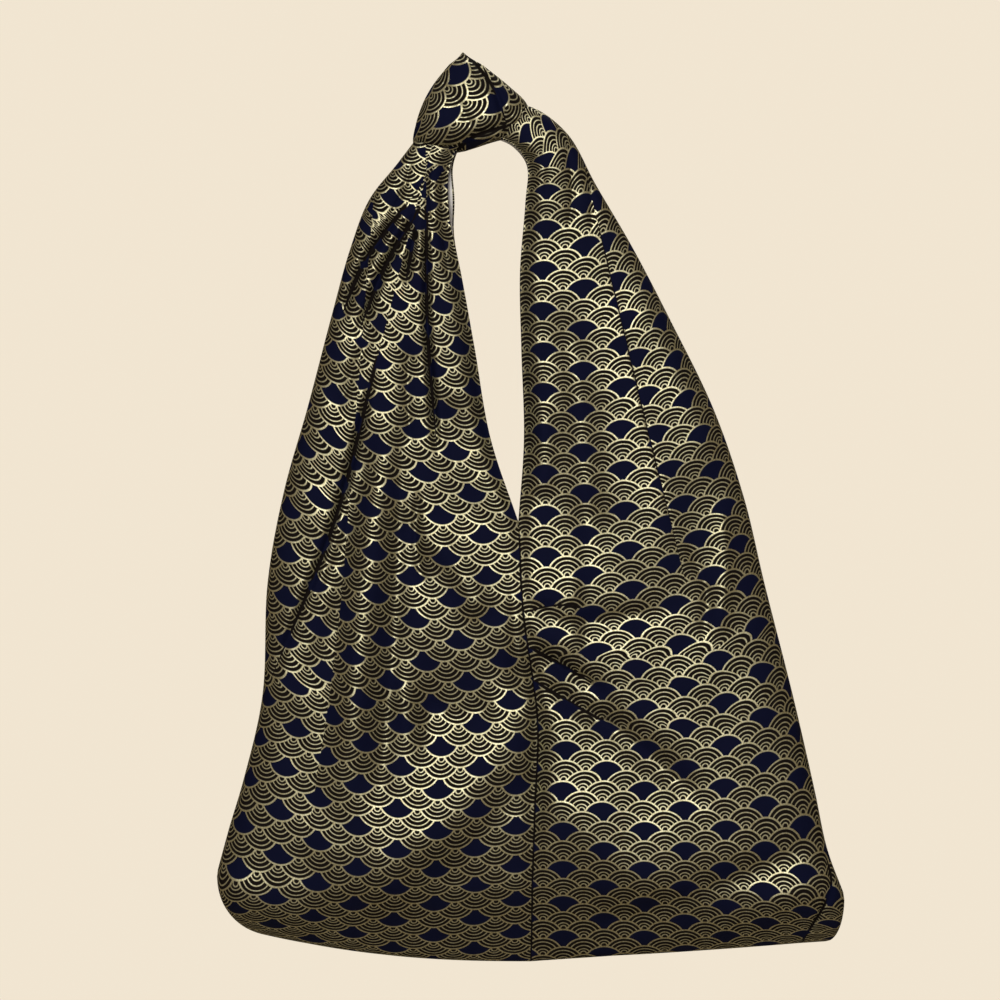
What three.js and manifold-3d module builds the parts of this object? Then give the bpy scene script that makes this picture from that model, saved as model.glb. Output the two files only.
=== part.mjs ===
// Knot bag: two cotton panels sewn together along a centre seam. Each panel folds round its
// own side of the bag and tapers into a strap, and the two strap ends are tied in a knot.
// The bag hangs by its loop. Millimetres, +Z up, the front faces -Y, and the origin is the
// underside of the loop, where it is held.
import * as THREE from "three";
import { mergeVertices } from "three/addons/utils/BufferGeometryUtils.js";
import Module from "manifold-3d";

const wasm = await Module();
wasm.setup();

// Cloth and mesh fineness
const CLOTH = 2; // the cloth with its turned hems
const GAP = 0.3; // clearance between neighbouring pieces
const COLUMNS = 19; // cloth strips from a panel's inner edge to its outer fold, on each face
const BASE_ROWS = 5; // rows that turn under the bag
const ROWS_PER_STATION = 4; // rows between two stations of a table
const KNOT_ROWS = 16; // rows from the foot of the knot to its tip
const KNOT_SIDES = 36; // points round the knot

// How the cloth rounds
const COLUMN_CROWDING = 1.4; // above 1 crowds the columns at the outer fold
const SECTION_POWER = 4; // 2 is an elliptic section, more is flatter with rounder sides
const BASE_POWER = 1.6; // 1 is an elliptic turn under the base, more is nearer to a wedge
const CORNER_POWER = 0.92; // the same for the outline of the base corners
const SEAM_GROOVE = { depth: 2.5, width: 9 }; // how far the sewn seam draws in
// The hemmed edge rolls in above the mouth, not at all below the first height and fully above the second
const STRAP_EDGE = { turn: 12, width: 12, from: -300, full: -190 };
const LEAST_DEPTH = 0.25; // share of the depth that folds leave at least
const FOLD_SAMPLES = 24; // points along a fold from which distances are measured
const FOLD_END = 0.22; // share of a fold's length over which each end fades out
const THIN_STRAP = 36; // half depth below which folds get shallower, so that they stay clear of the back
const MERGE = 1e-4; // points closer than this are one

// Two ridges run down from the seam like the edges of a tent. Below them the belly falls back.
const TENT = { top: [19, -476], fallLeft: 0.77, fallRight: 0.93, lowest: -562, softness: 8, slant: 0.2 };

// The centre seam and the edges of the V-shaped mouth, as [x, half depth, z]
const BASE_FOOT = [23, 0, -615];
const SEAM = [
  { name: "rim", at: [24, 47, -556] },
  { name: "flank", at: [25, 51, -528] },
  { name: "belly", at: [26, 52, -497] },
  { name: "middle", at: [28, 51, -434] },
  { name: "seam_top", at: [17, 46, -350] },
  { name: "mouth", at: [14, 41, -287] },
];

// Each panel: where its base ends, its outer edge beside the seam, and its strap's two edges.
// bow shapes a row of cloth: 1 is straight, more keeps it level and lifts its outer end.
// Folds: where each starts, passes and ends, how deep it draws the cloth in and how wide it is.
// A negative depth is a ridge.
const LEFT = {
  name: "left_panel",
  bow: 2.5,
  baseCorner: [-165, -596],
  besideSeam: [
    { name: "rim", outer: [-212, -548] },
    { name: "flank", outer: [-203, -515] },
    { name: "belly", outer: [-192, -478] },
    { name: "middle", outer: [-178, -416] },
    { name: "seam_top", outer: [-174, -330] },
    { name: "mouth", outer: [-162, -263] },
  ],
  strap: [
    { name: "lower", inner: [-7, -223], halfDepth: 37, outer: [-144, -199] },
    { name: "waist", inner: [-19, -155], halfDepth: 33, outer: [-127, -134] },
    { name: "upper", inner: [-29, -100], halfDepth: 30, outer: [-112, -80] },
    { name: "gather", inner: [-38, -56], halfDepth: 27, outer: [-98, -44] },
    { name: "neck", inner: [-38, -22], halfDepth: 22, outer: [-77, -17] },
    { name: "tuck", inner: [-26, 6], halfDepth: 14, outer: [-52, 16] },
  ],
  frontFolds: [
    { from: [-71, -50], by: [-101, -91], to: [-121, -138], depth: 8, width: 7 },
    { from: [-61, -53], by: [-84, -91], to: [-108, -150], depth: 8, width: 7 },
    { from: [-55, -50], by: [-54, -142], to: [-46, -242], depth: 7, width: 7 },
    { from: [-96, -180], by: [-122, -314], to: [-172, -463], depth: 12, width: 10 },
    { from: [-73, -230], by: [-77, -390], to: [-113, -550], depth: 11, width: 9 },
    { from: [-82, -120], by: [-97, -314], to: [-106, -500], depth: -6, width: 10 },
    { from: [-40, -185], by: [-34, -245], to: [-16, -300], depth: 5, width: 14 },
    { from: [-42, -290], by: [-22, -318], to: [-6, -346], depth: -4, width: 11 },
    { from: [-72, -428], by: [-25, -424], to: [24, -402], depth: 10, width: 36 },
    { from: [20, -412], by: [-24, -490], to: [-100, -572], depth: -9, width: 20 },
    { from: [26, -375], by: [27, -440], to: [25, -510], depth: 7, width: 11 },
  ],
  backFolds: [
    { from: [-62, -50], by: [-80, -160], to: [-120, -330], depth: 7, width: 13 },
    { from: [-48, -50], by: [-50, -180], to: [-46, -340], depth: 5, width: 14 },
    { from: [22, -390], by: [-20, -470], to: [-90, -545], depth: -8, width: 18 },
  ],
};

const RIGHT = {
  name: "right_panel",
  bow: 4,
  baseCorner: [244, -600],
  besideSeam: [
    { name: "rim", outer: [258, -570] },
    { name: "flank", outer: [245, -532] },
    { name: "belly", outer: [236, -488] },
    { name: "middle", outer: [220, -418] },
    { name: "seam_top", outer: [198, -331] },
    { name: "mouth", outer: [183, -268] },
  ],
  strap: [
    { name: "lower", inner: [18, -223], halfDepth: 37, outer: [160, -201] },
    { name: "waist", inner: [16, -155], halfDepth: 32, outer: [128, -135] },
    { name: "upper", inner: [15, -98], halfDepth: 28, outer: [100, -81] },
    { name: "bend", inner: [19, -46], halfDepth: 26, outer: [72, -33] },
    { name: "crook", inner: [20, -17], halfDepth: 23, outer: [50, 6] },
    { name: "neck", inner: [8, -2], halfDepth: 18, outer: [22, 26] },
    { name: "tuck", inner: [-10, 6], halfDepth: 13, outer: [-6, 26] },
  ],
  frontFolds: [
    { from: [50, 0], by: [54, -42], to: [50, -70], depth: 5, width: 7 },
    { from: [74, -66], by: [107, -205], to: [138, -330], depth: 5, width: 8 },
    { from: [46, -110], by: [59, -210], to: [72, -345], depth: 6, width: 12 },
    { from: [55, -45], by: [80, -149], to: [98, -280], depth: -4, width: 10 },
    { from: [12, -350], by: [34, -350], to: [58, -352], depth: -5, width: 22 },
    { from: [18, -368], by: [80, -366], to: [150, -344], depth: 5, width: 11 },
    { from: [30, -406], by: [78, -442], to: [156, -522], depth: 8, width: 13 },
    { from: [34, -480], by: [62, -530], to: [116, -562], depth: -9, width: 17 },
    { from: [26, -375], by: [27, -440], to: [25, -510], depth: 7, width: 11 },
    { from: [94, -576], by: [172, -546], to: [246, -518], depth: 6, width: 13 },
    { from: [84, -610], by: [172, -578], to: [262, -536], depth: -6, width: 12 },
    { from: [245, -522], by: [248, -557], to: [227, -598], depth: 7, width: 7 },
  ],
  backFolds: [
    { from: [40, -30], by: [66, -150], to: [92, -330], depth: 7, width: 13 },
    { from: [28, -60], by: [36, -180], to: [44, -350], depth: 4, width: 14 },
    { from: [30, -360], by: [80, -380], to: [150, -400], depth: 5, width: 11 },
    { from: [28, -440], by: [80, -500], to: [160, -560], depth: -7, width: 18 },
  ],
};

// The knot, from its foot to its tip: left and right side as [x, z], and half its depth
const KNOT = [
  { name: "foot", left: [-54, -15], right: [2, 0], halfDepth: 10 },
  { name: "lap", left: [-65, -2], right: [14, 6], halfDepth: 24 },
  { name: "bulge", left: [-63, 13], right: [22, 18], halfDepth: 29 },
  { name: "wrap", left: [-58, 28], right: [20, 28], halfDepth: 28 },
  { name: "shoulder", left: [-51, 41], right: [7, 41], halfDepth: 22 },
  { name: "peak", left: [-41, 54], right: [-9, 54], halfDepth: 14 },
  { name: "tip", left: [-30, 67], right: [-26, 67], halfDepth: 4 },
];
// Creases where the wrapped strap laps over itself
const KNOT_FOLDS = [
  { from: [-27, 70], by: [-8, 41], to: [9, 14], depth: 5, width: 5 },
  { from: [0, 8], by: [-24, -4], to: [-46, -18], depth: 5, width: 6 },
  { from: [-52, 48], by: [-38, 32], to: [-26, 8], depth: 5, width: 6 },
];

// A smooth curve through points given as [x, y, z]
function curveThrough(points) {
  const vectors = points.map((point) => new THREE.Vector3(...point));
  return new THREE.CatmullRomCurve3(vectors, false, "centripetal");
}

// The folds as sampled lines in the front view, ready to be measured against
function sampledFolds(folds) {
  return folds.map((fold) => {
    const ends = [fold.from, fold.by, fold.to].map(([x, z]) => [x, 0, z]);
    return { ...fold, line: curveThrough(ends).getPoints(FOLD_SAMPLES) };
  });
}

// How far the belly falls back below the tent's edges at a place of the front view
function undercut(x, z) {
  const [topX, topZ] = TENT.top;
  const fall = x < topX ? TENT.fallLeft : TENT.fallRight;
  const edge = Math.max(TENT.lowest, topZ - fall * Math.abs(x - topX));
  const below = edge - z;
  return (TENT.slant * (below + Math.hypot(below, TENT.softness))) / 2;
}

// How far the folds draw the cloth in at a place of the front view
function foldDepth(folds, x, z) {
  let total = 0;
  for (const fold of folds) {
    let nearest = Infinity;
    let along = 0;
    fold.line.forEach((point, step) => {
      const distance = Math.hypot(point.x - x, point.z - z);
      if (distance < nearest) {
        nearest = distance;
        along = step / FOLD_SAMPLES;
      }
    });
    const fade = THREE.MathUtils.smoothstep(Math.min(along, 1 - along), 0, FOLD_END);
    total += fold.depth * fade * Math.exp(-((nearest / fold.width) ** 2));
  }
  return total;
}

// Joins four corners of a grid with two triangles
function addQuad(triangles, a, b, c, d) {
  triangles.push(a, b, c, a, c, d);
}

// A geometry with its shared points merged
function mergedGeometry(points, triangles) {
  const geometry = new THREE.BufferGeometry().setFromPoints(points);
  geometry.setIndex(triangles);
  return mergeVertices(geometry, MERGE);
}

// A closed geometry as a body that can be cut, and a cut body as a geometry again
function toManifold(geometry) {
  const vertProperties = new Float32Array(geometry.getAttribute("position").array);
  const triVerts = new Uint32Array(geometry.index.array);
  return new wasm.Manifold(new wasm.Mesh({ numProp: 3, vertProperties, triVerts }));
}

function toGeometry(manifold) {
  const mesh = manifold.getMesh();
  const geometry = new THREE.BufferGeometry();
  geometry.setAttribute("position", new THREE.BufferAttribute(mesh.vertProperties, 3));
  geometry.setIndex(new THREE.BufferAttribute(mesh.triVerts, 1));
  return geometry;
}

// The largest of the bodies that a cut leaves
function largestBody(manifold) {
  const bodies = manifold.decompose();
  return bodies.reduce((best, body) => (body.volume() > best.volume() ? body : best));
}

// The edges of a panel as curves along its stations, and its folds
function panelShape(panel, side) {
  const seamGap = (side * GAP) / 2;
  const seam = SEAM.map(({ at: [x, halfDepth, z] }) => [x + seamGap, halfDepth, z]);
  const mouth = seam.at(-1);
  const strapEdge = panel.strap.map(({ inner, halfDepth }) => [inner[0], halfDepth, inner[1]]);
  const outer = [...panel.besideSeam, ...panel.strap].map((row) => [row.outer[0], 0, row.outer[1]]);
  return {
    seam: curveThrough(seam),
    seamSpans: seam.length - 1,
    strapEdge: curveThrough([mouth, ...strapEdge]),
    spans: outer.length - 1,
    outer: curveThrough(outer),
    foot: new THREE.Vector3(BASE_FOOT[0] + seamGap, BASE_FOOT[1], BASE_FOOT[2]),
    corner: new THREE.Vector3(panel.baseCorner[0], 0, panel.baseCorner[1]),
    bow: panel.bow,
    frontFolds: sampledFolds(panel.frontFolds),
    backFolds: sampledFolds(panel.backFolds),
  };
}

// The inner and outer ends of the row of cloth at a station, counted from the rim
function rowEnds(shape, station) {
  const outer = shape.outer.getPoint(station / shape.spans);
  const strapSpans = shape.spans - shape.seamSpans;
  const onSeam = station <= shape.seamSpans;
  const inner = onSeam
    ? shape.seam.getPoint(station / shape.seamSpans)
    : shape.strapEdge.getPoint((station - shape.seamSpans) / strapSpans);
  return { inner, outer };
}

// The same two ends below the rim, where the cloth turns under from 1 at the rim to 0 at the base line
function baseEnds(shape, turn) {
  const rim = rowEnds(shape, 0);
  const angle = (turn * Math.PI) / 2;
  const out = Math.sin(angle);
  const under = Math.cos(angle);
  const inner = new THREE.Vector3(
    THREE.MathUtils.lerp(shape.foot.x, rim.inner.x, out),
    THREE.MathUtils.lerp(shape.foot.y, rim.inner.y, out ** BASE_POWER),
    THREE.MathUtils.lerp(shape.foot.z, rim.inner.z, 1 - under ** BASE_POWER),
  );
  const outer = new THREE.Vector3(
    THREE.MathUtils.lerp(shape.corner.x, rim.outer.x, out ** CORNER_POWER),
    0,
    THREE.MathUtils.lerp(shape.corner.z, rim.outer.z, 1 - under ** CORNER_POWER),
  );
  return { inner, outer };
}

// One point of a row: across runs from -1 at the front inner edge, through 0 at the outer
// fold, to 1 at the back inner edge
function clothPoint(shape, { inner, outer }, across) {
  const reach = 1 - Math.abs(across) ** COLUMN_CROWDING;
  const x = THREE.MathUtils.lerp(inner.x, outer.x, reach);
  const z = THREE.MathUtils.lerp(inner.z, outer.z, reach ** shape.bow);
  const fullness = Math.max(0, 1 - reach ** SECTION_POWER) ** (1 / SECTION_POWER);
  const folds = across < 0 ? shape.frontFolds : shape.backFolds;
  const fromEdge = Math.abs(x - inner.x);
  const groove = SEAM_GROOVE.depth * Math.exp(-((fromEdge / SEAM_GROOVE.width) ** 2));
  const onStrap = THREE.MathUtils.smoothstep(inner.z, STRAP_EDGE.from, STRAP_EDGE.full);
  const rolledIn = STRAP_EDGE.turn * onStrap * Math.exp(-((fromEdge / STRAP_EDGE.width) ** 2));
  const drawnIn = foldDepth(folds, x, z) + undercut(x, z) + groove + rolledIn;
  const room = Math.min(1, inner.y / THIN_STRAP);
  const full = inner.y * fullness;
  const depth = Math.max(LEAST_DEPTH * full, full - drawnIn * fullness * room);
  return new THREE.Vector3(x, across < 0 ? -depth : depth, z);
}

// The panel's outer face as an open sheet
function panelSheet(shape, side) {
  const rows = [];
  for (let row = 0; row < BASE_ROWS; row += 1) rows.push(baseEnds(shape, row / BASE_ROWS));
  const upperRows = shape.spans * ROWS_PER_STATION;
  for (let row = 0; row <= upperRows; row += 1) rows.push(rowEnds(shape, row / ROWS_PER_STATION));
  const points = [];
  for (const ends of rows)
    for (let column = -COLUMNS; column <= COLUMNS; column += 1)
      points.push(clothPoint(shape, ends, column / COLUMNS));
  const width = 2 * COLUMNS + 1;
  const triangles = [];
  for (let row = 0; row + 1 < rows.length; row += 1)
    for (let column = 0; column + 1 < width; column += 1) {
      const corner = row * width + column;
      const ring = [corner, corner + 1, corner + width + 1, corner + width];
      if (side < 0) ring.reverse();
      addQuad(triangles, ...ring);
    }
  return mergedGeometry(points, triangles);
}

// Gives an open sheet its thickness, inwards, and closes its edges
function thickened(sheet, thickness) {
  sheet.computeVertexNormals();
  const position = sheet.getAttribute("position");
  const normal = sheet.getAttribute("normal");
  const outside = [];
  const inside = [];
  for (let index = 0; index < position.count; index += 1) {
    const point = new THREE.Vector3().fromBufferAttribute(position, index);
    const inward = new THREE.Vector3().fromBufferAttribute(normal, index);
    outside.push(point);
    inside.push(point.clone().addScaledVector(inward, -thickness));
  }
  const count = position.count;
  const index = sheet.index.array;
  const triangles = [];
  const edges = new Set();
  for (let start = 0; start < index.length; start += 3) {
    const [a, b, c] = index.slice(start, start + 3);
    if (a === b || b === c || c === a) continue;
    triangles.push(a, b, c, a + count, c + count, b + count);
    for (const [from, to] of [[a, b], [b, c], [c, a]]) edges.add(`${from} ${to}`);
  }
  for (const edge of edges) {
    const [from, to] = edge.split(" ").map(Number);
    if (!edges.has(`${to} ${from}`)) addQuad(triangles, to, from, from + count, to + count);
  }
  return mergedGeometry([...outside, ...inside], triangles);
}

// The knot, grown by a clearance all round
function knotSolid(clearance) {
  const sides = ["left", "right"].map((side) =>
    curveThrough(KNOT.map((row) => [row[side][0], row.halfDepth, row[side][1]])),
  );
  const folds = sampledFolds(KNOT_FOLDS);
  const points = [];
  for (let row = 0; row <= KNOT_ROWS; row += 1) {
    const [left, right] = sides.map((side) => side.getPoint(row / KNOT_ROWS));
    for (let step = 0; step < KNOT_SIDES; step += 1) {
      const angle = (2 * Math.PI * step) / KNOT_SIDES;
      const place = (1 + Math.cos(angle)) / 2;
      const x = THREE.MathUtils.lerp(left.x, right.x, place);
      const z = THREE.MathUtils.lerp(left.z, right.z, place);
      const drawnIn = Math.min(foldDepth(folds, x, z), left.y / 2);
      points.push(new THREE.Vector3(x, -Math.sin(angle) * (left.y - drawnIn), z));
    }
  }
  const first = points.slice(0, KNOT_SIDES);
  const last = points.slice(-KNOT_SIDES);
  const foot = points.push(centreOf(first)) - 1;
  const tip = points.push(centreOf(last)) - 1;
  const triangles = [];
  for (let step = 0; step < KNOT_SIDES; step += 1) {
    const next = (step + 1) % KNOT_SIDES;
    for (let row = 0; row < KNOT_ROWS; row += 1) {
      const low = row * KNOT_SIDES;
      const high = low + KNOT_SIDES;
      addQuad(triangles, low + step, high + step, high + next, low + next);
    }
    const top = KNOT_ROWS * KNOT_SIDES;
    triangles.push(foot, step, next);
    triangles.push(tip, top + next, top + step);
  }
  const geometry = mergedGeometry(points, triangles);
  geometry.computeVertexNormals();
  const position = geometry.getAttribute("position");
  const normal = geometry.getAttribute("normal");
  for (let index = 0; index < position.count; index += 1) {
    const point = new THREE.Vector3().fromBufferAttribute(position, index);
    const outward = new THREE.Vector3().fromBufferAttribute(normal, index);
    point.addScaledVector(outward, clearance);
    position.setXYZ(index, point.x, point.y, point.z);
  }
  geometry.deleteAttribute("normal");
  return geometry;
}

function centreOf(points) {
  const sum = points.reduce((total, point) => total.add(point), new THREE.Vector3());
  return sum.divideScalar(points.length);
}

const printedCotton = new THREE.MeshStandardMaterial({
  color: 0x2b2a2a,
  roughness: 0.6,
  metalness: 0.3,
});

function clothMesh(name, geometry) {
  const mesh = new THREE.Mesh(geometry, printedCotton);
  mesh.name = name;
  return mesh;
}

// Each strap runs into the knot and is cut back to lie against it
const knotClearance = toManifold(knotSolid(GAP));

function panelMesh(panel, side) {
  const sheet = panelSheet(panelShape(panel, side), side);
  const solid = toManifold(thickened(sheet, CLOTH));
  const trimmed = largestBody(solid.subtract(knotClearance));
  return clothMesh(panel.name, toGeometry(trimmed));
}

const bag = new THREE.Group();
bag.add(panelMesh(LEFT, -1));
bag.add(panelMesh(RIGHT, 1));
bag.add(clothMesh("knot", knotSolid(0)));

export default bag;
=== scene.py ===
# %% [markdown]
# # A knot bag in printed cotton
# The bag is two cotton panels, sewn together along a centre seam. Each panel folds round its own
# side of the bag and tapers into a strap, and the two strap ends are tied in a knot. The packed
# model gives the frame, in metres, with its origin under the loop where the bag is held. This
# lesson drapes fine cloth over the same stations and prints it with gold wave scales.

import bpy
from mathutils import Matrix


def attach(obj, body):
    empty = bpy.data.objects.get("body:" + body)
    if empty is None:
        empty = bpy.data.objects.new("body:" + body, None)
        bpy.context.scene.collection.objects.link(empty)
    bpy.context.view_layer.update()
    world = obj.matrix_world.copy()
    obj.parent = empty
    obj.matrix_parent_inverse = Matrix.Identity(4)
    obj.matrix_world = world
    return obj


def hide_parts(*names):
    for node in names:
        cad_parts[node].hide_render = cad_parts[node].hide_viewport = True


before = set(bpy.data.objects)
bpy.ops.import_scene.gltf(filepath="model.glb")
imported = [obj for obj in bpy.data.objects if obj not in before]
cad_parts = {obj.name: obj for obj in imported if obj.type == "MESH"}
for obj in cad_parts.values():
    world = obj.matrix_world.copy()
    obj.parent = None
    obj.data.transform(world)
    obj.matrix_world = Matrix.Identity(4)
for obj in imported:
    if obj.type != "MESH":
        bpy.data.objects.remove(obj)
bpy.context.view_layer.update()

# %% Tools for numbers and meshes
import math
from collections import namedtuple

import bmesh
import bpy
import numpy as np
from mathutils import Vector
from mathutils.bvhtree import BVHTree

MM = 0.001
scene = bpy.context.scene
print("one millimetre is", MM, "of Blender's units")

# %% [markdown]
# ## Camera
# A product picture is taken from far away with a long lens, so that the bag keeps its
# proportions. A long lens on a camera five metres away does the same here. The lens follows from
# the width of the picture at the middle of the bag.

# %% Camera
PICTURE_WIDTH = 750 * MM
EYE = (0, -5.0, -0.269)
SENSOR_WIDTH = 36

camera_data = bpy.data.cameras.new("camera")
camera_data.sensor_width = SENSOR_WIDTH
camera_data.lens = SENSOR_WIDTH * -EYE[1] / PICTURE_WIDTH
camera = bpy.data.objects.new("camera", camera_data)
camera.location = EYE
camera.rotation_euler = (math.pi / 2, 0, 0)
scene.collection.objects.link(camera)
scene.camera = camera
print("lens", camera_data.lens, "mm")

# %% [markdown]
# ## Floor and room
# The bag hangs well clear of a plain pale floor. The room is a plain cream backdrop. It could be
# a wall, but a wall would hide the back of the bag from other views, so the world's own colour
# is the backdrop. A Light Path node keeps what the camera sees bright while the light that
# the room gives stays low, which lets the lamps model the folds.

# %% Floor
FLOOR_HEIGHT = -1.0
FLOOR_HALF_SIDE = 2.5
PALE_FLOOR = (0.80, 0.76, 0.70, 1)

floor_mesh = bpy.data.meshes.new("floor")
floor_bm = bmesh.new()
bmesh.ops.create_grid(floor_bm, x_segments=1, y_segments=1, size=FLOOR_HALF_SIDE)
bmesh.ops.translate(floor_bm, verts=floor_bm.verts, vec=(0, 0, FLOOR_HEIGHT))
floor_bm.to_mesh(floor_mesh)
floor_bm.free()
floor_paint = bpy.data.materials.new("pale_floor")
floor_paint.use_nodes = True
floor_paint.node_tree.nodes["Principled BSDF"].inputs["Base Color"].default_value = PALE_FLOOR
floor_mesh.materials.append(floor_paint)
floor = bpy.data.objects.new("floor", floor_mesh)
scene.collection.objects.link(floor)
floor.visible_glossy = False
print("floor at", FLOOR_HEIGHT, "m")

# %% Room
CREAM = (0.880, 0.785, 0.640, 1)
ROOM_LIGHT = (1.0, 0.74, 0.42, 1)
ROOM_STRENGTH = 0.14

world = bpy.data.worlds.new("room")
world.use_nodes = True
scene.world = world
room_nodes = world.node_tree.nodes
room_links = world.node_tree.links
room_nodes.clear()
seen = room_nodes.new("ShaderNodeBackground")
seen.inputs["Color"].default_value = CREAM
lit = room_nodes.new("ShaderNodeBackground")
lit.inputs["Color"].default_value = ROOM_LIGHT
lit.inputs["Strength"].default_value = ROOM_STRENGTH
path = room_nodes.new("ShaderNodeLightPath")
choice = room_nodes.new("ShaderNodeMixShader")
room_out = room_nodes.new("ShaderNodeOutputWorld")
room_links.new(path.outputs["Is Camera Ray"], choice.inputs[0])
room_links.new(lit.outputs[0], choice.inputs[1])
room_links.new(seen.outputs[0], choice.inputs[2])
room_links.new(choice.outputs[0], room_out.inputs["Surface"])
scene.view_settings.view_transform = "Standard"
print("room light", ROOM_STRENGTH)

# %% [markdown]
# ## Studio lamps
# Foil shows its shape only by what it mirrors, so the lamps are large soft boxes: a wide key from
# high in front, a weak one straight in front, and one behind for the views from the back.

# %% Studio lamps
Lamp = namedtuple("Lamp", "name place width height watts colour")
AIM = (0.02, 0, -0.30)
LAMPS = [
    Lamp("key", (-0.4, -5.0, 3.3), 2.8, 1.4, 225, (1.0, 0.98, 0.95)),
    Lamp("front", (0.2, -3.4, 0.2), 1.6, 0.8, 7, (0.97, 0.98, 1.0)),
    Lamp("rear", (0.3, 3.0, 3.4), 2.4, 1.6, 90, (1.0, 0.97, 0.93)),
]

for lamp in LAMPS:
    light = bpy.data.lights.new(lamp.name, "AREA")
    light.shape = "RECTANGLE"
    light.size = lamp.width
    light.size_y = lamp.height
    light.energy = lamp.watts
    light.color = lamp.colour
    holder = bpy.data.objects.new(lamp.name, light)
    holder.location = lamp.place
    way = Vector(AIM) - Vector(lamp.place)
    holder.rotation_euler = way.to_track_quat("-Z", "Y").to_euler()
    scene.collection.objects.link(holder)
print(len(LAMPS), "lamps")

# %% [markdown]
# ## How a panel hangs
# A panel is one cloth: its front, the fold at the outer side of the bag, and its back. Stations
# up the bag give where the cloth's inner edge and its outer fold lie, and a smooth curve runs
# through them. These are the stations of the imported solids, in millimetres, so the fine cloth
# hangs where they are. A row's bow says how late it climbs from the seam to the outer fold.

# %% Stations of the two panels
StrapStation = namedtuple("StrapStation", "inner half_depth outer")
Panel = namedtuple("Panel", "name side bow base_bow corner seam strap")

BASE_FOOT = (23, 0, -615)
SEAM = {
    "rim": (24, 47, -556),
    "flank": (25, 51, -528),
    "belly": (26, 52, -497),
    "middle": (28, 51, -434),
    "seam_top": (17, 46, -350),
    "mouth": (14, 41, -287),
}
LEFT = Panel(
    "left_panel", -1, 2.5, 2.5, (-165, -596),
    {
        "rim": (-212, -548),
        "flank": (-203, -515),
        "belly": (-192, -478),
        "middle": (-178, -416),
        "seam_top": (-174, -330),
        "mouth": (-162, -263),
    },
    {
        "lower": StrapStation((-7, -223), 37, (-144, -199)),
        "waist": StrapStation((-19, -155), 33, (-127, -134)),
        "upper": StrapStation((-29, -100), 30, (-112, -80)),
        "gather": StrapStation((-38, -56), 27, (-98, -44)),
        "neck": StrapStation((-38, -22), 22, (-77, -17)),
        "tuck": StrapStation((-26, 6), 14, (-52, 16)),
    },
)
RIGHT = Panel(
    "right_panel", 1, 4, 1, (244, -600),
    {
        "rim": (258, -565),
        "flank": (245, -530),
        "belly": (236, -488),
        "middle": (220, -418),
        "seam_top": (198, -331),
        "mouth": (183, -268),
    },
    {
        "lower": StrapStation((18, -223), 37, (160, -201)),
        "waist": StrapStation((16, -155), 32, (128, -135)),
        "upper": StrapStation((15, -98), 28, (100, -81)),
        "bend": StrapStation((19, -46), 26, (72, -33)),
        "crook": StrapStation((20, -17), 27, (50, 6)),
        "neck": StrapStation((8, -2), 26, (22, 26)),
        "tuck": StrapStation((-10, 6), 19, (-6, 26)),
    },
)
print(len(SEAM) + len(LEFT.strap), "and", len(SEAM) + len(RIGHT.strap), "stations")

# %% A smooth curve through stations
CENTRIPETAL = 0.5
LEAST_STEP = 1e-6


def smooth_through(stations, places):
    """Points of the smooth curve through stations, at places counted in stations."""
    points = np.array(stations, float)
    before = 2 * points[0] - points[1]
    after = 2 * points[-1] - points[-2]
    points = np.vstack([before, points, after])
    places = np.asarray(places, float)
    span = np.clip(np.floor(places).astype(int), 0, len(points) - 4)
    part = (places - span)[:, None]
    first, start, end, last = (points[span + step] for step in range(4))
    steps = [np.linalg.norm(b - a, axis=1) for a, b in ((first, start), (start, end), (end, last))]
    d0, d1, d2 = (np.maximum(step, LEAST_STEP)[:, None] ** CENTRIPETAL for step in steps)
    out = (start - first) / d0 - (end - first) / (d0 + d1) + (end - start) / d1
    into = (end - start) / d1 - (last - start) / (d1 + d2) + (last - end) / d2
    out, into = out * d1, into * d1
    square = 3 * (end - start) - 2 * out - into
    cube = 2 * (start - end) + out + into
    return start + part * (out + part * (square + part * cube))


print("between rim and flank:", smooth_through(list(SEAM.values()), [0.5]).round(1).tolist())

# %% Rows of cloth, from the base line to the knot
SEAM_LAP = 0.6
CORNER_POWER = 0.92
BASE_POWER = 1.6
RIM_AND_MOUTH = np.array((0.0, 5.0))


def row_ends(panel, places):
    """Inner edge as x, half depth, z, and outer fold as x, z, of rows; below 0 they turn under the base."""
    lap = np.array((panel.side * SEAM_LAP / 2, 0, 0))
    seam = np.array(list(SEAM.values()), float) - lap
    strap = [(*s.inner[:1], s.half_depth, s.inner[1]) for s in panel.strap.values()]
    edge = np.vstack([seam[-1], strap])
    fold = [*panel.seam.values(), *(s.outer for s in panel.strap.values())]
    above = np.maximum(places, 0)
    last_seam = len(seam) - 1
    on_seam = smooth_through(seam, np.minimum(above, last_seam))
    on_strap = smooth_through(edge, np.maximum(above - last_seam, 0))
    inner = np.where((above <= last_seam)[:, None], on_seam, on_strap)
    outer = smooth_through(fold, above)
    angle = np.clip(1 + np.asarray(places), 0, 1)[:, None] * math.pi / 2
    spread, rise = np.sin(angle), np.maximum(np.cos(angle), 0)
    foot = np.array(BASE_FOOT) - lap
    under = np.hstack([spread, spread ** BASE_POWER, 1 - rise ** BASE_POWER])
    corner = np.array(panel.corner, float)
    round_corner = np.hstack([spread ** CORNER_POWER, 1 - rise ** CORNER_POWER])
    return foot + (inner - foot) * under, corner + (outer - corner) * round_corner


for panel in (LEFT, RIGHT):
    ends = row_ends(panel, RIM_AND_MOUTH)
    print(panel.name, "rim and mouth:", np.round(ends[0]).tolist(), np.round(ends[1]).tolist())

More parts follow.
